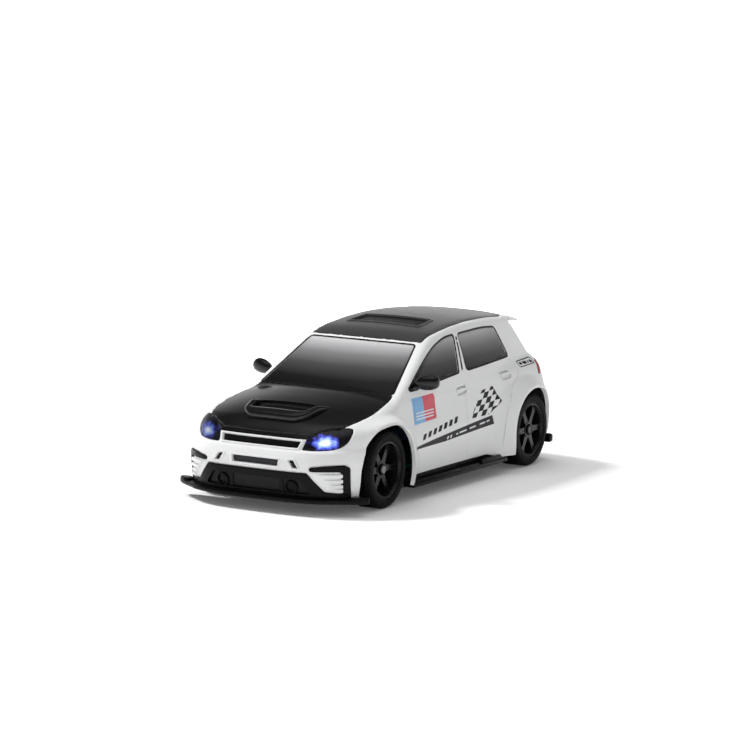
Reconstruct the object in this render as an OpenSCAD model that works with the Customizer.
// Small-scale remote-control drift car: hatchback body shell on a rear-drive chassis.
// +X is the car's left side, -Y its front, +Z up; z = 0 is the ground under the tyres.

/* [Body shell] */
// Wall thickness of the moulded shell
shell_wall = 1.0; // [0.9:0.05:1.1]
// Gap between the shell and the panes and panels fitted in it
pane_gap = 0.06; // [0.04:0.01:0.10]
// Thickness of panes, bonnet and roof panel
pane_thick = 0.8; // [0.7:0.05:0.9]
// Thickness of the front splitter plate
splitter_thick = 0.9; // [0.7:0.1:1.1]

/* [Wheels] */
// Tyre radius
tyre_r = 8.1; // [8.0:0.05:8.15]
// Rim radius at the outer lip
rim_r = 5.85; // [5.7:0.05:5.9]
// Number of spokes
spokes = 6; // [5:1:7]
// Spoke width at the hub
spoke_w = 1.5; // [1.2:0.1:1.7]
// Depth of the tyre's grooves
tread_groove = 0.25; // [0.15:0.05:0.35]

/* [Chassis] */
// Thickness of the chassis plate
plate_thick = 1.0; // [0.9:0.05:1.1]
// Height of the chassis side rails above the plate
rail_h = 2.6; // [2.0:0.2:3.0]
// Radius of the kingpins
kingpin_r = 0.6; // [0.55:0.01:0.62]
// Radial clearance of running fits
fit_gap = 0.04; // [0.03:0.01:0.06]

/* [Drive] */
// Teeth on the axle gear
spur_teeth = 28; // [28:2:28]
// Teeth on the motor pinion
pinion_teeth = 9; // [9:2:9]
// Width of the axle gear
spur_w = 1.8; // [1.4:0.1:2.0]

// Piece to build

/* [Hidden] */
$fn = 48;

wheelbase = 63.4;
front_y = -wheelbase/2;
rear_y = wheelbase/2;
wheel_z = 8.1;           // wheel centre height
kingpin_x = 14.2;        // kingpin distance from the centre plane
plate_z = 2.2;           // plate underside height
plate_top = plate_z+plate_thick;
arm_len = 4;             // steering arm length
gear_module = 0.3;
motor_y = rear_y-(spur_teeth+pinion_teeth)*gear_module/2;
gear_x = 3.4;            // inner face of the gears
centre_shift = 1.14;     // brings the middle of the overall length to the origin

white = [0.93, 0.93, 0.93];
black = [0.06, 0.06, 0.065];
glass = [0.14, 0.15, 0.17];
grey = [0.35, 0.36, 0.38];
metal = [0.72, 0.73, 0.75];
lamp_clear = [0.75, 0.85, 1];
lamp_red = [0.7, 0.05, 0.05];
tyre_black = [0.09, 0.09, 0.09];

// ---------- shared helpers ----------
module post(x, y, bottom, top, radius)
    translate([x, y, bottom]) cylinder(r = radius, h = top-bottom);
module rod_x(radius, from_x, to_x, y, z, sides = 48)
    translate([from_x, y, z]) rotate([0, 90, 0])
        cylinder(r = radius, h = to_x-from_x, $fn = sides);
// A block on each side of the centre plane, its inner face at inner_x.
module block_pair(inner_x, y, z, size)
    for (side = [-1, 1])
        translate([side > 0 ? inner_x : -inner_x-size[0], y, z]) cube(size);
// Half an outline with its mirror image; points on the centre line aren't doubled.
function both_halves(half) = concat(half,
    [for (i = [len(half)-1:-1:0]) if (half[i][0] != 0) [-half[i][0], half[i][1]]]);

// ---------- body surface ----------
// A curve is [stations, slopes]: stations are [position, value], joined by cubics.
function chord(points, i) =
    (points[i+1][1]-points[i][1])/(points[i+1][0]-points[i][0]);
function slopes(points) = [for (i = [0:len(points)-1])
    i == 0 ? chord(points, 0) :
    i == len(points)-1 ? chord(points, i-1) :
    let (before = chord(points, i-1), after = chord(points, i))
    before*after <= 0 ? 0 : 2*before*after/(before+after)];
function curve(points) = [points, slopes(points)];
function span_index(t, points, i = 0) =
    (i >= len(points)-2 || t < points[i+1][0]) ? i : span_index(t, points, i+1);
function value_at(t, curve) = let (
    points = curve[0],
    slope = curve[1],
    pos = min(max(t, points[0][0]), points[len(points)-1][0]),
    i = span_index(pos, points),
    step = points[i+1][0]-points[i][0],
    f = (pos-points[i][0])/step,
    f2 = f*f,
    f3 = f2*f)
    points[i][1]*(2*f3-3*f2+1) + step*slope[i]*(f3-2*f2+f)
    + points[i+1][1]*(3*f2-2*f3) + step*slope[i+1]*(f3-f2);

// [y, half width of the lower body]
half_width = curve([
    [-50,17.2], [-46,19.4], [-42,20.5], [-38,21.0], [-31,21.1], [-22,20.4], [-10,20.1],
    [5,20.2], [16,20.5], [24,21.0], [31,21.3], [38,21.2], [43,20.9], [48,20.2]]);
// [z, how far the side leans in]
side_lean = curve([
    [1,0.9], [4,0.5], [7,0.1], [10,0.0], [13,0.15], [16,0.6], [19,1.35], [22,2.5], [25,4.0]]);
// [z, y of the nose on the centre line]
nose_line = curve([
    [1,-47.6], [4,-48.2], [8,-48.9], [10.5,-49.0], [12.6,-48.3], [13.6,-47.3],
    [15.2,-46.5], [17,-45.4], [19,-43.5], [22,-40]]);
// [z, y of the tail on the centre line]
tail_line = curve([
    [1,44.6], [4,45.3], [8,46.4], [12,46.5], [14.5,45.9], [17,45.3], [20,44.9],
    [23,44.4], [26,43.8]]);
// [y, z of the top of the lower body on the centre line]
deck_line = curve([
    [-52,14.4], [-48,16.2], [-45,17.6], [-41,19.0], [-36,20.3], [-30,21.5], [-24,22.4],
    [-18,22.9], [-8,23.3], [5,23.8], [20,24.4], [33,24.9], [44,24.6], [50,24.0]]);
// [y, z of the roof on the centre line]
roof_line = curve([
    [-14,30.2], [-9,31.4], [-5,32.2], [-1,32.9], [3,33.4], [10,34.0], [16,34.2],
    [24,34.0], [30,33.6], [36,33.0], [40,32.4], [46,31.2]]);
// [y, change in the cabin's half width]
cabin_taper = curve([
    [-26,-0.9], [-16,-0.3], [-4,0.0], [10,0.0], [24,-0.4], [32,-1.0], [38,-1.8], [44,-3.0]]);
// [z, half width of the cabin]
cabin_side = curve([
    [20,19.0], [22,18.35], [24,17.65], [26,16.85], [28,16.0], [30,15.1], [32,14.1],
    [34,13.0]]);

// Larger and smaller of two values, blended where they lie within `blend` of each other.
function soft_max(a, b, blend) = let (overlap = max(blend-abs(a-b), 0)/blend)
    max(a, b) + overlap*overlap*blend/4;
function soft_min(a, b, blend) = -soft_max(-a, -b, blend);

// In the body functions below x is the distance from the centre plane.
// Wheel arch flare: a cone round the axle whose slope goes from side_slope to top_slope.
function flare(x, y, z, axle_y, width, side_slope, top_slope, arch_r) = let (
    rise = max(z-wheel_z, 0),
    dist = norm([y-axle_y, z-wheel_z]),
    upness = rise*rise/max(dist*dist, 0.000001),
    slope = side_slope+(top_slope-side_slope)*upness*upness)
    soft_max(((x-width)+slope*(dist-arch_r))*(1/sqrt(1+slope*slope)),
        x-width+0.02*(z-wheel_z), 0.5);
function rear_flare_width(y) = 22.9-0.9*pow(min(max((y-34)/8, 0), 1), 1.5);
function lower_body(x, y, z) = let (
    sides = x-(value_at(y, half_width)-value_at(z, side_lean)),
    front_arch = flare(x, y, z, front_y, 22.7, 0.55, 2.2, 9.9),
    rear_arch = flare(x, y, z, rear_y, rear_flare_width(y), 0.42, 1.9, 10.1),
    arched = soft_min(soft_min(sides, front_arch, 0.8), rear_arch, 0.8),
    nose = (value_at(z, nose_line)+6.8*pow(x/19.8, 4)-y)*0.93,
    tail = (y-value_at(z, tail_line)+4.4*pow(x/20, 5))*0.95,
    deck = (z-(value_at(y, deck_line)-1.9*pow(x/18.5, 2.2)))*0.97)
    soft_max(soft_max(soft_max(arched, nose, 2.6), tail, 2.6), deck, 2.2);
function cabin(x, y, z) = let (
    sides = (x-(value_at(z, cabin_side)+value_at(y, cabin_taper)))*0.90,
    roof = z-(value_at(y, roof_line)-0.7*pow(x/13, 2.4)),
    // sloping planes of the windscreen and the rear window, bowed across the car
    screen = ((z-21.9)-0.53*(y+24.4-0.0125*x*x))/1.1318,
    back = ((y-44.2+0.008*x*x)+0.74*(z-23))/1.2440)
    soft_max(soft_max(soft_max(sides, roof, 1.6), screen, 1.2), back, 1.6);
cabin_from_z = 17;       // the cabin has no effect below this height
// Signed distance-like body function: negative inside the car.
function body(p) = let (x = abs(p[0]), lower = lower_body(x, p[1], p[2]))
    p[2] < cabin_from_z ? lower : soft_min(lower, cabin(x, p[1], p[2]), 0.8);

// Root search for the point `depth` under the surface, along dir from start:
// near and far bracket it, at_near and at_far are the function's values there.
function seek(start, dir, depth, near, at_near, far, at_far, tries) =
    let (secant = (near*at_far-far*at_near)/(at_far-at_near))
    tries == 0 ? start+dir*secant :
    let (mid = tries % 3 == 0 ? (near+far)/2 : secant,
        at_mid = body(start+dir*mid)+depth)
    abs(at_mid) < 0.002 ? start+dir*mid :
    at_mid < 0 ? seek(start, dir, depth, mid, at_mid, far, at_far, tries-1) :
    seek(start, dir, depth, near, at_near, mid, at_mid, tries-1);
function onto(start, dir, depth, reach = 60) =
    seek(start, dir, depth, 0, body(start)+depth, reach, body(start+dir*reach)+depth, 12);

// ---------- shell solid ----------
// Rays leave a spine on the centre line: they fan out at its ends, run square between.
fan_steps = 11;
run_steps = 26;
side_steps = 2*fan_steps+run_steps;  // steps from nose to tail on one side
low_rows = [2, 4.6, 7.2, 9.8, 12];   // heights of the level rows
spine_z = 12;
up_steps = 15;                       // steps from level to straight up
spine_front = -27;
spine_back = 28;
function spine_y(i) =
    spine_front+(spine_back-spine_front)*min(max(i-fan_steps, 0), run_steps)/run_steps;
function turn(i) = i <= fan_steps ? -90+90*i/fan_steps :
    i >= fan_steps+run_steps ? 90*(i-fan_steps-run_steps)/fan_steps : 0;
function half_row(z, lift, depth) = [for (i = [0:side_steps]) let (t = turn(i))
    onto([0, spine_y(i), z], [cos(lift)*cos(t), cos(lift)*sin(t), sin(lift)], depth)];
// Half loops of points, low rows first, from nose to tail on the +X side.
function half_rows(depth) = concat(
    [for (z = low_rows) half_row(z, 0, depth)],
    [for (k = [1:up_steps-1]) half_row(spine_z, 90*k/up_steps, depth)]);
function ridge(depth) = [for (i = [fan_steps:fan_steps+run_steps])
    onto([0, spine_y(i), spine_z], [0, 0, 1], depth, 30)];
module body_solid(depth) {
    rows = half_rows(depth);
    row_count = len(rows);
    loop = 2*side_steps;             // points in a full loop
    points = concat(
        [for (row = rows) each concat(row,
            [for (i = [side_steps-1:-1:1]) [-row[i][0], row[i][1], row[i][2]]])],
        ridge(depth), [[0, 0, low_rows[0]]]);
    ridge_start = row_count*loop;
    last_row = ridge_start-loop;
    function ridge_index(i) = let (k = i <= side_steps ? i : loop-i)
        ridge_start+min(max(k-fan_steps, 0), run_steps);
    bottom = ridge_start+run_steps+1;
    faces = concat(
        [for (r = [0:row_count-2], i = [0:loop-1])
            each let (a = r*loop+i, b = r*loop+(i+1)%loop, c = b+loop, d = a+loop)
            [[a, c, b], [a, d, c]]],
        [for (i = [0:loop-1])
            each let (a = last_row+i, b = last_row+(i+1)%loop,
                c = ridge_index((i+1)%loop), d = ridge_index(i))
            c == d ? [[a, c, b]] : [[a, c, b], [a, d, c]]],
        [for (i = [0:loop-1]) [bottom, i, (i+1)%loop]]);
    polyhedron(points, faces);
}

// ---------- conformal panels ----------
// A panel is a list of cross lines with equal point counts, drawn flat in one view:
// "side" [y, z] along X, "top" [x, y] along Z, "nose" [x, z] from the front,
// "tail" [x, z] from the rear. For "side", side is 1 on the left and -1 on the right.
function lift_onto(view, q, depth, side) =
    view == "side" ? onto([side*4, q[0], q[1]], [side, 0, 0], depth, 30) :
    view == "top" ? onto([q[0], q[1], 10], [0, 0, 1], depth, 32) :
    view == "nose" ? onto([q[0], -32, q[1]], [0, -1, 0], depth, 26) :
    onto([q[0], 26, q[1]], [0, 1, 0], depth, 30);
// Each gap between neighbouring lines divided into equal steps.
function grid(lines, steps) = [
    for (r = [0:len(lines)-2])
    for (j = [0:steps-(r < len(lines)-2 ? 1 : 0)])
    [for (i = [0:len(lines[r])-1]) lines[r][i]+(lines[r+1][i]-lines[r][i])*j/steps]];
function border(lines) = let (end = len(lines[0])-1, last = len(lines)-1) concat(
    lines[0],
    [for (k = [1:1:last-1]) lines[k][end]],
    [for (i = [end:-1:0]) lines[last][i]],
    [for (k = [last-1:-1:1]) lines[k][0]]);
function signed_area(points) = let (count = len(points))
    0.5*([for (i = [0:count-1]) let (p = points[i], q = points[(i+1)%count])
        p[0]*q[1]-q[0]*p[1]]*[for (i = [0:count-1]) 1]);
module panel(view, lines, steps, outer, inner, side = 1) {
    rows = grid(lines, steps);
    width = len(lines[0]);
    last = len(rows)-1;
    flat = [for (row = rows) each row];
    count = len(flat);
    points = concat(
        [for (q = flat) lift_onto(view, q, outer, side)],
        [for (q = flat) lift_onto(view, q, inner, side)]);
    faces = concat(
        [for (j = [0:last-1], i = [0:width-2])
            each let (a = j*width+i, b = a+1, c = b+width, d = a+width)
            [[a, b, c], [a, c, d]]],
        [for (j = [0:last-1], i = [0:width-2])
            each let (a = count+j*width+i, b = a+1, c = b+width, d = a+width)
            [[a, c, b], [a, d, c]]],
        [for (i = [0:width-2]) each [[i, count+i, count+i+1], [i, count+i+1, i+1]]],
        [for (i = [0:width-2]) each let (a = last*width+i)
            [[a, count+a+1, count+a], [a, a+1, count+a+1]]],
        [for (j = [0:last-1]) each let (a = j*width)
            [[a, a+width, count+a+width], [a, count+a+width, count+a]]],
        [for (j = [0:last-1]) each let (a = j*width+width-1)
            [[a, count+a+width, a+width], [a, count+a, count+a+width]]]);
    // the winding is turned where the view or the side mirrors it
    turning = signed_area(border(lines));
    keep = view == "top" || view == "nose" ? turning < 0 :
        view == "tail" ? turning > 0 : side*turning < 0;
    polyhedron(points, keep ? faces : [for (f = faces) [f[0], f[2], f[1]]]);
}
// Panel of pane thickness, its outer face `depth` under the body surface.
module pane(view, lines, steps, depth, side = 1)
    panel(view, lines, steps, depth, depth+pane_thick, side);
// Prism through the wall for a panel's opening, outward from distance `start`.
module opening_prism(lines, length)
    linear_extrude(length) offset(delta = pane_gap) polygon(border(lines));
module opening(view, lines, side = 1, start = 12) {
    if (view == "side")
        translate([side > 0 ? 9 : -29, 0, 0]) rotate([90, 0, 90]) opening_prism(lines, 20);
    if (view == "top")
        translate([0, 0, start]) opening_prism(lines, 30);
    if (view == "nose")
        translate([0, -start, 0]) rotate([90, 0, 0]) opening_prism(lines, 25);
    if (view == "tail")
        translate([0, start+25, 0]) rotate([90, 0, 0]) opening_prism(lines, 25);
}
function flip_x(lines) = [for (line = lines) [for (q = line) [-q[0], q[1]]]];
// Cross line symmetric about x = 0: level + bend*x^2.
function bow(half, level, bend, n) =
    [for (i = [-n:n]) let (x = half*i/n) [x, level+bend*x*x]];
// A polyline resampled into n steps, equal in point index.
function along(points, n) = [for (i = [0:n])
    let (t = i/n*(len(points)-1), k = min(floor(t), len(points)-2))
    points[k]+(points[k+1]-points[k])*(t-k)];

windscreen_lines = [bow(12.7, -5.134, -0.006, 6), bow(16.0, -24.6, 0.0145, 6)];
bonnet_lines = [
    bow(16.3, -25.7, 0.0150, 7),
    bow(17.8, -34, 0.006, 7),
    bow(16.3, -41.2, 0.0035, 7),
    bow(13.9, -43.6, 0.005, 7),
    bow(10.0, -45.9, 0.006, 7)];
roof_lines = [bow(12.9, -3.9, 0.004, 6), bow(12.1, 34.6, -0.006, 6)];
front_side_lines = [
    along([[-17.2,22.5], [-9.1,26.9], [-2.9,29.5], [3.0,30.9], [7.4,31.2]], 12),
    along([[-15.4,22.5], [-6.2,23.2], [0,23.6], [4.5,23.9]], 12)];
rear_side_lines = [
    along([[9.6,31.2], [20,31.3], [26.6,30.9]], 9),
    along([[8.2,24.0], [20,24.4], [28.7,24.7]], 9)];
rear_window_lines = [bow(11.6, 31.2, 0, 5), bow(13.6, 25.0, 0, 5)];
grille_lines = [bow(9.9, 15.0, 0, 5), bow(9.4, 13.3, 0, 5)];
headlight_lines = [
    along([[10.6,14.9], [12.4,16.15], [14.5,16.85], [16.5,17.1], [17.4,16.8]], 9),
    along([[10.0,13.4], [13.0,13.4], [16.2,13.7], [18.2,14.8]], 9)];
lower_grille_lines = [bow(11.6, 8.7, 0, 7), bow(15.2, 4.5, 0, 7)];
nose_slot_lines = [bow(5.6, 11.1, 0, 3), bow(5.4, 9.7, 0, 3)];
// small opening beside the nose slot
side_slot_lines = [[[7.6,11.1], [8.8,11.1]], [[8.7,9.7], [9.9,9.7]]];
corner_trim_lines = [
    along([[12.3,10.0], [15.5,10.3], [18.3,10.4], [19.2,9.9], [19.2,7.4], [19.0,4.7]], 15),
    along([[12.6,9.2], [15.5,9.15], [17.9,9.1], [18.3,8.9], [18.2,7.2], [18.0,4.7]], 15)];
taillight_lines = [
    along([[9.0,23.4], [13,23.4], [16.4,22.9]], 6),
    along([[9.4,20.6], [13,20.2], [16.4,19.9]], 6)];

arch_cut_r = 9.5;
front_arch_shift = 0.2;  // front arch centre behind the front axle
// resize([0, 0, 0]), here and below, leaves every axis at its own size.
module body_shell() color(white) resize([0, 0, 0]) difference() {
    body_solid(0);
    body_solid(shell_wall);
    // lower edge at z = 3.5, and at 3.9 behind the front axle
    translate([-40, -60, -6]) cube([80, 120, 9.5]);
    translate([-40, front_y, -6]) cube([80, 120, 9.9]);
    for (y = [front_y+front_arch_shift, rear_y]) {
        rod_x(arch_cut_r, -40, 40, y, wheel_z, 72);
        translate([-40, y-arch_cut_r, -5]) cube([80, 2*arch_cut_r, 5+wheel_z]);
    }
    opening("top", windscreen_lines);
    opening("top", bonnet_lines, start = 14.6);
    opening("top", roof_lines, start = 28);
    for (side = [-1, 1]) {
        opening("side", front_side_lines, side);
        opening("side", rear_side_lines, side);
    }
    opening("tail", rear_window_lines, start = 30);
    opening("nose", grille_lines, start = 42);
    opening("nose", headlight_lines, start = 39.2);
    opening("nose", flip_x(headlight_lines), start = 39.2);
    opening("nose", lower_grille_lines, start = 40);
    opening("nose", nose_slot_lines, start = 44);
    for (right = [0, 1]) mirror([right, 0, 0]) {
        opening("nose", side_slot_lines, start = 44);
        opening("tail", taillight_lines, start = 36);
    }
}

pane_depth = 0.2;        // how far the windows are set in
lamp_depth = 0.05;       // how far the lamps are set in
module windscreen() color(glass) pane("top", windscreen_lines, 8, pane_depth);
module bonnet() color(black) pane("top", bonnet_lines, 3, 0);
module roof_panel() color(black) pane("top", roof_lines, 14, 0);
module rear_window() color(glass) pane("tail", rear_window_lines, 5, pane_depth);
module side_window(lines, side) color(glass) pane("side", lines, 5, pane_depth, side);
module front_left_window() side_window(front_side_lines, 1);
module front_right_window() side_window(front_side_lines, -1);
module rear_left_window() side_window(rear_side_lines, 1);
module rear_right_window() side_window(rear_side_lines, -1);

// Cuts away what lies within the bonnet's opening.
module clear_of_bonnet() resize([0, 0, 0]) difference() {
    children();
    opening("top", bonnet_lines);
}
module grille_bar() color(black) clear_of_bonnet() pane("nose", grille_lines, 2, 0.3);
module headlight(lines) color(lamp_clear) clear_of_bonnet()
    pane("nose", lines, 5, lamp_depth);
module headlight_left() headlight(headlight_lines);
module headlight_right() headlight(flip_x(headlight_lines));

taillight_front = 36.05; // the taillights keep only what lies behind this y
module taillight(lines) color(lamp_red) resize([0, 0, 0]) difference() {
    pane("tail", lines, 4, lamp_depth);
    translate([-40, -60, -5]) cube([80, 60+taillight_front, 60]);
}
module taillight_left() taillight(taillight_lines);
module taillight_right() taillight(flip_x(taillight_lines));

// Grille pane with a round boss and an upright bar on each side.
module lower_grille() color(black) resize([0, 0, 0]) union() {
    pane("nose", lower_grille_lines, 5, 0.6);
    for (side = [-1, 1])
        translate([side*8.3, -46.2, 5.9]) rotate([90, 0, 0])
            cylinder(r = 1.35, h = 2, $fn = 36);
    block_pair(9.6, -47.2, 4.6, [0.6, 1.2, 3.9]);
}
// Raised strips on the body surface.
module corner_trim(lines) color(black) panel("nose", lines, 1, -0.3, -0.001);
module corner_trim_left() corner_trim(corner_trim_lines);
module corner_trim_right() corner_trim(flip_x(corner_trim_lines));

// Splitter in plan, [x, y]: front edge outward on the +X half, then rear edge back in.
splitter_half = [
    [0,-49.9], [6,-49.8], [11,-49.2], [15,-47.8], [18.4,-45.6], [20.6,-43.3],
    [22.2,-41.0], [22.6,-40.3],
    [21.4,-40.3], [20.5,-41.2], [19.3,-42.3], [17.6,-43.4], [13,-44.9], [7,-45.6],
    [0,-45.8]];
splitter_top = 3.48;
module front_splitter() color(black) translate([0, 0, splitter_top-splitter_thick])
    linear_extrude(splitter_thick) polygon(both_halves(splitter_half));

skirt_len = 41.6;
skirt_front = -20.9;
// [x, -z]
skirt_profile = [[18.9,-3.88], [20.9,-3.88], [21.5,-3.5], [21.7,-2.7], [18.9,-2.7]];
module side_skirt(right) color(black) mirror([right, 0, 0])
    translate([0, skirt_front, 0]) rotate([-90, 0, 0])
        linear_extrude(skirt_len) polygon(skirt_profile);
module side_skirt_left() side_skirt(0);
module side_skirt_right() side_skirt(1);

// Oval housing cut flat at the rear, on a stalk.
module mirror_unit(right) color(black) mirror([right, 0, 0]) resize([0, 0, 0]) union() {
    difference() {
        translate([20.2, -13.6, 24.2]) scale([2.3, 1.35, 1.3]) sphere(r = 1, $fn = 28);
        translate([17, -13.0, 22]) cube([6, 3, 5]);
    }
    hull() {
        translate([19.2, -13.6, 23.7]) cube([0.8, 0.6, 0.6]);
        translate([18.1, -14.4, 22.35]) cube([0.5, 1.1, 0.5]);
    }
}
module mirror_left() mirror_unit(0);
module mirror_right() mirror_unit(1);

spoiler_span = 24.6;
// [y, z]
spoiler_profile = [
    [37.4,32.65], [40.9,31.9], [41.1,31.5], [40.6,31.3], [38.6,31.55], [38.1,32.1]];
module rear_spoiler() color(white) translate([-spoiler_span/2, 0, 0])
    rotate([90, 0, 90]) linear_extrude(spoiler_span) polygon(spoiler_profile);

diffuser_half = [[17,41.6], [18,43.6], [14,45.3]];
fin_w = 0.7;
module rear_diffuser() color(black) {
    translate([0, 0, 3.0]) linear_extrude(0.9) polygon(both_halves(diffuser_half));
    for (x = [-9:6:9]) translate([x-fin_w/2, 41.8, 2.2]) cube([fin_w, 3.4, 1.7]);
}

// ---------- chassis ----------
// Plate in plan, +X half, front to rear: [x, y]
plate_half = [
    [0,-42.3], [9.6,-42.3], [10.4,-41.4], [10.4,-22.6], [12.2,-21.2], [18.2,-20.4],
    [18.2,20.2], [13.4,21.6], [12.2,23.2], [12.2,40.2], [11.2,41.2], [0,41.2]];
screw_spots = [
    [8.6,-40.6], [-8.6,-40.6], [5.0,-24.2], [-5.0,-24.2],
    [16.3,-17.5], [-16.3,-17.5], [16.3,17.5], [-16.3,17.5]];
bridge_spots = [for (side = [-1, 1], y = [-35.6, -24.0]) [side*9.2, y]];
board_spots = [for (x = [4.2, 14.8], y = [-11.2, 12.2]) [x, y]];
screw_hole_r = 0.42;
boss_top = plate_top+1.4;
board_z = 5.2;
board_thick = 0.8;
board_top = board_z+board_thick;
bridge_z = 11.0;
bridge_thick = 1.2;
bridge_top = bridge_z+bridge_thick;
kingpin_boss_r = 1.3;
kingpin_hole_r = kingpin_r+fit_gap;

module chassis_tub() color(black) difference() {
    rail_size = plate_thick+rail_h;
    ledge_size = plate_thick+rail_h*0.5;
    union() {
        translate([0, 0, plate_z]) linear_extrude(plate_thick)
            polygon(both_halves(plate_half));
        block_pair(17.2, -20.0, plate_z, [1.0, 39.6, rail_size]);
        // lower suspension arms
        block_pair(9, front_y-1.2, plate_z+0.4, [5.2, 2.4, 2.0]);
        for (side = [-1, 1]) translate([side*kingpin_x, front_y, plate_z+0.4])
            cylinder(r = kingpin_boss_r, h = 2.0);
        // side ledges that the shell rests on
        block_pair(9.4, -42.3, plate_z, [1, 10.0, ledge_size]);
        block_pair(9.4, -28, plate_z, [1, 6, ledge_size]);
        // cross wall
        translate([-16, -20, plate_z]) cube([32, 1, rail_size]);
        for (p = screw_spots) post(p[0], p[1], plate_z, boss_top, 1.15);
        // battery tray walls
        for (x = [-15.2, 0.9])
            translate([x, -14.2, plate_z]) cube([0.8, 30.4, plate_thick+3.2]);
        for (p = board_spots) post(p[0], p[1], plate_z, board_z, 1.0);
        for (p = bridge_spots) post(p[0], p[1], plate_z, bridge_z, 1.0);
    }
    for (side = [-1, 1]) post(side*kingpin_x, front_y, 0, 12, kingpin_hole_r);
    for (p = screw_spots) post(p[0], p[1], 0, 8, screw_hole_r);
    for (p = bridge_spots) post(p[0], p[1], 8.8, 12, screw_hole_r);
    // switch slot
    translate([8.6, -17.3, 0]) cube([1.2, 3.6, 5]);
    // charging socket recess
    translate([17, -3.9, 4.0]) cube([2, 7.8, 3.6]);
    // cooling slots
    for (y = [-8:4:8]) translate([-12, y-0.6, 0]) cube([9, 1.2, 8]);
}

bridge_half = [
    [10.3, -36.7],
    [10.3, front_y-kingpin_boss_r], [kingpin_x, front_y-kingpin_boss_r],
    [kingpin_x, front_y+kingpin_boss_r], [10.3, front_y+kingpin_boss_r],
    [10.3, -22.9], [7.0, -22.9], [7.0, -26]];
module front_bridge() color(grey) difference() {
    union() {
        translate([0, 0, bridge_z]) linear_extrude(bridge_thick)
            polygon(both_halves(bridge_half));
        for (side = [-1, 1])
            post(side*kingpin_x, front_y, bridge_z, bridge_top, kingpin_boss_r);
    }
    for (side = [-1, 1]) post(side*kingpin_x, front_y, 9, 14, kingpin_hole_r);
    for (p = bridge_spots) post(p[0], p[1], 9, 14, screw_hole_r);
    // window over the tie rod
    translate([-8.0, -30.2, 10]) cube([16, 4.9, 3]);
}

// Screw with a hexagonal socket; head_z is the underside of its head.
module screw(spot, shank_z, head_z) difference() {
    union() {
        post(spot[0], spot[1], head_z, head_z+0.6, 0.9);
        post(spot[0], spot[1], shank_z, head_z+0.1, 0.4);
    }
    translate([spot[0], spot[1], head_z+0.3]) cylinder(r = 0.42, h = 1, $fn = 6);
}
module chassis_screws() color(metal) {
    for (p = screw_spots) screw(p, plate_z+0.4, boss_top);
    for (p = bridge_spots) screw(p, 9.0, bridge_top);
}

// ---------- drive housing and motor ----------
axle_r = 0.75;
shaft_r = 0.4;
cheek_x = 10.2;          // middle of the side cheeks that hold the axle bearings
cheek_w = 2.0;
cheek_inner = cheek_x-cheek_w/2;
bearing_w = 1.8;
can_r = 3.9;
module gearbox_housing() color(grey) difference() {
    union() {
        block_pair(cheek_inner, 28.6, plate_top, [cheek_w, 6.2, 7.2]);
        for (side = [-1, 1])
            rod_x(3.1, side*cheek_x-cheek_w/2, side*cheek_x+cheek_w/2, rear_y, wheel_z);
        // rear cross bar and its links to the cheeks
        translate([-11.2, 36.6, plate_top]) cube([22.4, 1.4, 2.0]);
        block_pair(cheek_inner, 33, plate_top, [cheek_w, 4.2, 2.0]);
        // motor cradle
        translate([-9.0, 21.4, plate_top]) cube([10.6, 7.2, 3.2]);
        translate([-11.2, 27.2, plate_top]) cube([2.4, 2.2, 3.2]);
    }
    rod_x(2.0, -12, 12, rear_y, wheel_z);
    rod_x(can_r+0.06, -10, 3, motor_y, wheel_z);
}

cover_wall = 0.9;        // beyond each face of the gears
cover_play = 0.35;       // inside the cover, beyond each face of the gears
cover_r = 5.6;
module gearbox_cover() color(black) difference() {
    inside_from = gear_x-cover_play;
    inside_to = gear_x+spur_w+cover_play;
    translate([gear_x-cover_wall, 0, 0]) rotate([90, 0, 90])
        linear_extrude(spur_w+2*cover_wall) union() {
            translate([rear_y, wheel_z]) circle(r = cover_r, $fn = 64);
            translate([motor_y, wheel_z]) circle(r = 2.7, $fn = 48);
            polygon([[motor_y, wheel_z], [rear_y, wheel_z],
                [rear_y, wheel_z+cover_r], [motor_y-1.0, wheel_z+2.5]]);
        }
    rod_x(4.9, inside_from, inside_to, rear_y, wheel_z, 64);
    rod_x(2.0, inside_from, inside_to, motor_y, wheel_z);
    rod_x(1.1, 0, 12, rear_y, wheel_z);
    rod_x(0.8, 0, 12, motor_y, wheel_z);
    // open underneath
    translate([0, 20, 0]) cube([12, 16.5, wheel_z+0.6]);
    translate([0, 20, 0]) cube([12, 24, 5.2]);
}
module motor_can() color(metal) difference() {
    union() {
        rod_x(can_r, -8.6, 1.4, motor_y, wheel_z);
        rod_x(1.5, 1.4, 2.0, motor_y, wheel_z);
        rod_x(1.8, -9.2, -8.6, motor_y, wheel_z);
    }
    rod_x(shaft_r+fit_gap, -8.9, 3, motor_y, wheel_z);
}
module motor_shaft() color(metal)
    rod_x(shaft_r, -8.7, gear_x+spur_w+0.3, motor_y, wheel_z);
module axle_bearings() color(metal) for (side = [-1, 1]) difference() {
    rod_x(1.98, side*cheek_x-bearing_w/2, side*cheek_x+bearing_w/2, rear_y, wheel_z);
    rod_x(axle_r+fit_gap, -12, 12, rear_y, wheel_z);
}

// ---------- electrics ----------
// The battery's upper edges are stepped at both ends.
module battery() color([0.16, 0.3, 0.55])
    translate([-14.2, -13.6, plate_top+0.05]) difference() {
        cube([14.9, 28.4, 6.2]);
        for (y = [0, 27.4]) translate([-1, y, 5.7]) cube([17, 1, 1]);
    }
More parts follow.
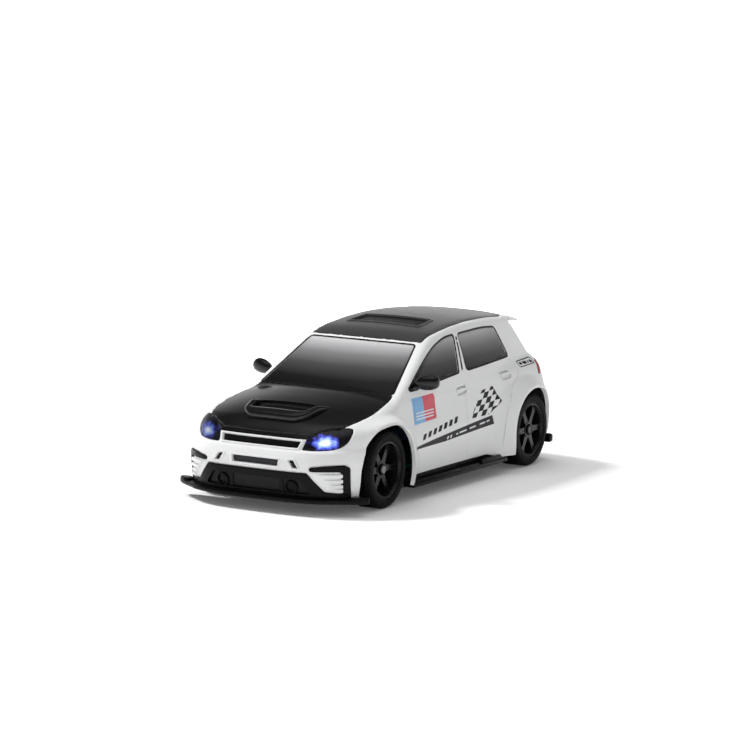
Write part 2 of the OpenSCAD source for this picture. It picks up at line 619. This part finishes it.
// Parts standing on the board: [x, y], [size]
board_parts = [
    [[5.5, -8.5], [5, 5, 0.9]],
    [[6.5, 0.5], [3.4, 3.4, 0.8]],
    [[4.2, 7], [3.2, 4.6, 2.2]],
    [[12.4, 5.6], [1.6, 3.2, 0.7]]];
module control_board() color([0.05, 0.25, 0.16]) difference() {
    union() {
        translate([3.0, -12.6, board_z]) cube([13.4, 26, board_thick]);
        for (part = board_parts)
            translate([part[0][0], part[0][1], board_top]) cube(part[1]);
        for (y = [-4.0, 7.8])
            translate([11.6, y, board_top]) cylinder(r = 0.9, h = 1.5, $fn = 32);
    }
    for (p = board_spots) post(p[0], p[1], 4, 8, 0.5);
}
module charge_port() color(metal) difference() {
    translate([13.9, -3.6, board_top]) cube([3.9, 7.2, 2.4]);
    translate([14.4, -3.25, board_top+0.35]) cube([4, 6.5, 1.7]);
}
module power_switch() color(metal) difference() {
    translate([7.4, -18.9, plate_top]) cube([3.6, 6.2, 2.2]);
    translate([8.5, -17.4, plate_top-1]) cube([1.4, 3.8, 2.2]);
}
module switch_slider() color([0.85, 0.2, 0.15])
    translate([8.7, -16.3, 1.5]) cube([1.0, 1.6, 2.4]);

// ---------- steering and suspension ----------
servo_h = 5.6;
servo_shaft_r = 0.8;
steering_pin_r = 0.5;
steering_lock = 22;      // degrees
horn_z = 9.15;
rod_z = 9.8;             // tie rod underside
rod_thick = 0.8;
knuckle_top = 9.2;
arm_z = 8.2;             // steering arm underside
module servo_case() color([0.1, 0.1, 0.11]) difference() {
    union() {
        translate([-6.2, -38.6, plate_top]) cube([12.4, 10.2, servo_h]);
        // mounting ears
        translate([-8.0, -37.4, plate_top+2.2]) cube([16, 7.8, 1.0]);
        post(0, front_y, plate_top+servo_h, plate_top+servo_h+0.3, 1.9);
    }
    post(0, front_y, 5, 12, servo_shaft_r+fit_gap);
}
module servo_horn() color([0.85, 0.85, 0.83]) union() {
    post(0, front_y, 6.0, 9.3, servo_shaft_r);
    translate([0, front_y, horn_z]) linear_extrude(0.45) union() {
        circle(r = 1.5, $fn = 48);
        translate([-0.8, 0]) square([1.6, arm_len]);
        translate([0, arm_len]) circle(r = 0.8, $fn = 40);
    }
    post(0, front_y+arm_len, 9.3, 11.0, steering_pin_r);
}
// Slot along Y for a steering pin: its ends lie where the pin stands at full lock
// and at rest.
module pin_slot(x, radius, z, height) {
    travel = arm_len*(1-cos(steering_lock));
    pin_y = front_y+arm_len;
    for (y = [pin_y, pin_y-travel])
        translate([x, y, z]) cylinder(r = radius, h = height, $fn = 40);
    translate([x-radius, pin_y-travel, z]) cube([2*radius, travel, height]);
}
module tie_rod() color(grey) difference() {
    pin_places = [-kingpin_x, 0, kingpin_x];
    union() {
        translate([-kingpin_x, front_y+arm_len-0.9, rod_z])
            cube([2*kingpin_x, 1.6, rod_thick]);
        for (x = pin_places) pin_slot(x, 0.95, rod_z, rod_thick);
    }
    for (x = pin_places) pin_slot(x, steering_pin_r+0.08, 9, 3);
}
module knuckle(right) color(grey) mirror([right, 0, 0]) difference() {
    pin_y = front_y+arm_len;
    union() {
        post(kingpin_x, front_y, 6.3, knuckle_top, kingpin_boss_r);
        // steering arm and its pin
        translate([kingpin_x-0.9, front_y, arm_z]) cube([1.8, arm_len, 1.0]);
        post(kingpin_x, pin_y, arm_z, 11.1, steering_pin_r);
        post(kingpin_x, pin_y, arm_z, knuckle_top, 0.9);
        // stub axle and its root
        rod_x(1.2, kingpin_x, kingpin_x+2.6, front_y, 7.75);
        rod_x(axle_r, kingpin_x+1, 20.5, front_y, wheel_z);
    }
    post(kingpin_x, front_y, 5, 12, kingpin_hole_r);
}
module knuckle_left() knuckle(0);
module knuckle_right() knuckle(1);
module kingpin(right) color(metal) mirror([right, 0, 0]) {
    post(kingpin_x, front_y, plate_z+0.2, 13.4, kingpin_r);
    // collar under the knuckle
    post(kingpin_x, front_y, 5.75, 6.25, 1.1);
}
module kingpin_left() kingpin(0);
module kingpin_right() kingpin(1);

// Coil of six-sided wire round the kingpin, with flat-cut ends.
module coil(x) {
    turn_steps = 12;
    turns = 3.5;
    sides = 6;
    coil_r = 0.95;
    wire_r = 0.13;
    bottom = 9.36;
    top = 10.84;
    steps = turn_steps*turns;
    points = [for (i = [0:steps])
        let (around = 360*i/turn_steps, z = bottom+(top-bottom)*i/steps)
        for (j = [0:sides-1])
        let (b = 360*j/sides, radius = coil_r+wire_r*cos(b))
        [radius*cos(around), radius*sin(around), z+wire_r*sin(b)]];
    faces = concat(
        [for (i = [0:steps-1], j = [0:sides-1])
            each let (a = i*sides+j, b = i*sides+(j+1)%sides, c = b+sides, d = a+sides)
            [[c, b, a], [d, c, a]]],
        [[for (j = [0:sides-1]) j]],
        [[for (j = [sides-1:-1:0]) steps*sides+j]]);
    translate([x, front_y, 0]) polyhedron(points, faces);
}
module spring_left() color(metal) coil(kingpin_x);
module spring_right() color(metal) coil(-kingpin_x);

// ---------- wheels, drawn for the +X side round the X axis ----------
// inner_x and outer_x are the wheel's faces, face_x is near the outer face of the spokes.
hub_r = 1.75;
barrel_r = 5.15;         // inside of the rim
module rim(inner_x, outer_x, face_x) {
    // [radius, x]
    profile = [
        [barrel_r, inner_x+0.2], [rim_r, inner_x+0.2], [rim_r, inner_x+0.7],
        [rim_r-0.45, inner_x+1.0], [rim_r-0.45, outer_x-1.1], [rim_r, outer_x-0.8],
        [rim_r, outer_x-0.2], [rim_r-0.35, outer_x-0.1], [5.25, outer_x-0.6],
        [barrel_r, face_x-1.0]];
    spoke = [
        [1.2, -spoke_w/2], [4.0, -spoke_w*0.36], [5.3, -spoke_w*0.62],
        [5.3, spoke_w*0.62], [4.0, spoke_w*0.36], [1.2, spoke_w/2]];
    difference() {
        union() {
            rotate([90, 0, 90]) rotate_extrude($fn = 96) polygon(profile);
            rod_x(hub_r, face_x-2.4, face_x-0.1, 0, 0, 64);
            for (k = [0:spokes-1]) rotate([k*360/spokes, 0, 0]) rotate([90, 0, 90])
                translate([0, 0, face_x-1.5]) linear_extrude(1.3) polygon(spoke);
        }
        rod_x(axle_r+fit_gap, inner_x-1, outer_x+1, 0, 0);
        // nut recess
        rod_x(1.25, face_x-0.7, face_x+1, 0, 0);
    }
}
module tyre(inner_x, outer_x) {
    seat_r = rim_r+0.02;
    bead_r = rim_r-0.43;
    groove_w = 0.3;
    // [radius, x]
    profile = [
        [seat_r, inner_x+0.2], [6.4, inner_x], [7.3, inner_x], [7.8, inner_x+0.25],
        [tyre_r, inner_x+0.8], [tyre_r, outer_x-0.8],
        [7.8, outer_x-0.25], [7.3, outer_x], [6.4, outer_x], [seat_r, outer_x-0.2],
        [seat_r, outer_x-0.82], [bead_r, outer_x-1.14],
        [bead_r, inner_x+1.04], [seat_r, inner_x+0.72]];
    rotate([90, 0, 90]) difference() {
        rotate_extrude($fn = 120) polygon(profile);
        for (part = [0.3, 0.5, 0.7])
            translate([0, 0, inner_x+(outer_x-inner_x)*part-groove_w/2]) difference() {
                cylinder(r = 9, h = groove_w, $fn = 96);
                translate([0, 0, -1]) cylinder(r = tyre_r-tread_groove, h = 3, $fn = 96);
            }
    }
}
module nut(face_x) difference() {
    rod_x(1.1, face_x-0.65, face_x+0.25, 0, 0, 6);
    rod_x(axle_r+0.01, face_x-1, face_x+1, 0, 0);
}
module wheel_at(y, right) translate([0, y, wheel_z]) mirror([right, 0, 0]) children();

front_inner = 15.7;
front_outer = 21.4;
front_face = 20.0;
rear_inner = 15.3;
rear_outer = 21.5;
rear_face = 20.9;
module front_rim(right) color(black) wheel_at(front_y, right)
    rim(front_inner, front_outer, front_face);
module rear_rim(right) color(black) wheel_at(rear_y, right)
    rim(rear_inner, rear_outer, rear_face);
module front_tyre(right) color(tyre_black) wheel_at(front_y, right)
    tyre(front_inner, front_outer);
module rear_tyre(right) color(tyre_black) wheel_at(rear_y, right)
    tyre(rear_inner, rear_outer);
module front_left_rim() front_rim(0);
module front_right_rim() front_rim(1);
module rear_left_rim() rear_rim(0);
module rear_right_rim() rear_rim(1);
module front_left_tyre() front_tyre(0);
module front_right_tyre() front_tyre(1);
module rear_left_tyre() rear_tyre(0);
module rear_right_tyre() rear_tyre(1);
module front_left_nut() color(metal) wheel_at(front_y, 0) nut(front_face);
module front_right_nut() color(metal) wheel_at(front_y, 1) nut(front_face);
module rear_wheel_nuts() color(metal)
    for (right = [0, 1]) wheel_at(rear_y, right) nut(rear_face);
module rear_axle() color(metal) rod_x(axle_r, -21.1, 21.1, rear_y, wheel_z);

// ---------- gears ----------
pressure_angle = 25;
backlash = 0.055;        // taken off each flank at the pitch circle
function pitch_r(teeth) = gear_module*teeth/2;
function base_r(teeth) = pitch_r(teeth)*cos(pressure_angle);
function involute(a) = tan(a)*180/PI-a;
// Half the angle a tooth covers at a radius.
function half_tooth(teeth, radius) =
    let (a = radius <= base_r(teeth) ? 0 : acos(base_r(teeth)/radius))
    90/teeth - backlash*180/PI/pitch_r(teeth) + involute(pressure_angle) - involute(a);
// Outline of an involute gear, one tooth centred on the angle `phase`.
function gear_outline(teeth, phase) = let (
    tip = pitch_r(teeth)+0.8*gear_module,
    root = pitch_r(teeth)-1.1*gear_module,
    base = base_r(teeth),
    flank = [for (i = [0:4])
        base > root ? base+(tip-base)*i/4 : root+(tip-root)*(i+0.5)/4.5],
    radii = concat([root], flank),
    // up one flank, then down the other
    tooth = concat(
        [for (r = radii) [r, -half_tooth(teeth, r)]],
        [for (i = [len(radii)-1:-1:0]) [radii[i], half_tooth(teeth, radii[i])]]))
    [for (k = [0:teeth-1], q = tooth) let (a = 360*k/teeth+phase+q[1])
        [q[0]*cos(a), q[0]*sin(a)]];
module spur_gear() color([0.9, 0.88, 0.8]) difference() {
    translate([gear_x, rear_y, wheel_z]) rotate([90, 0, 90]) union() {
        linear_extrude(spur_w) polygon(gear_outline(spur_teeth, 0));
        translate([0, 0, spur_w-0.01]) cylinder(r = 0.95, h = 1.3);
    }
    rod_x(axle_r, 0, 12, rear_y, wheel_z);
    // ring of holes through the web
    for (k = [0:5]) translate([0, rear_y, wheel_z]) rotate([60*k, 0, 0])
        rod_x(0.7, 0, 12, 2.4, 0, 32);
}
module pinion_gear() color([0.8, 0.65, 0.3]) difference() {
    translate([gear_x, motor_y, wheel_z]) rotate([90, 0, 90]) linear_extrude(spur_w)
        polygon(gear_outline(pinion_teeth, 180/pinion_teeth));
    rod_x(shaft_r, 0, 12, motor_y, wheel_z);
}

module placed() translate([0, centre_shift, 0]) children();
placed() body_shell();
placed() bonnet();
placed() roof_panel();
placed() windscreen();
placed() front_left_window();
placed() rear_left_window();
placed() front_right_window();
placed() rear_right_window();
placed() rear_window();
placed() grille_bar();
placed() headlight_left();
placed() headlight_right();
placed() taillight_left();
placed() taillight_right();
placed() lower_grille();
placed() front_splitter();
placed() corner_trim_left();
placed() corner_trim_right();
placed() side_skirt_left();
placed() side_skirt_right();
placed() mirror_left();
placed() mirror_right();
placed() rear_spoiler();
placed() rear_diffuser();
placed() chassis_tub();
placed() front_bridge();
placed() gearbox_housing();
placed() gearbox_cover();
placed() motor_can();
placed() battery();
placed() control_board();
placed() charge_port();
placed() servo_case();
placed() chassis_screws();
placed() axle_bearings();
placed() power_switch();
placed() switch_slider();
placed() servo_horn();
placed() tie_rod();
placed() knuckle_left();
placed() knuckle_right();
placed() kingpin_left();
placed() kingpin_right();
placed() spring_left();
placed() spring_right();
placed() front_left_rim();
placed() front_right_rim();
placed() rear_left_rim();
placed() rear_right_rim();
placed() front_left_tyre();
placed() front_right_tyre();
placed() rear_left_tyre();
placed() rear_right_tyre();
placed() front_left_nut();
placed() front_right_nut();
placed() rear_wheel_nuts();
placed() rear_axle();
placed() spur_gear();
placed() motor_shaft();
placed() pinion_gear();
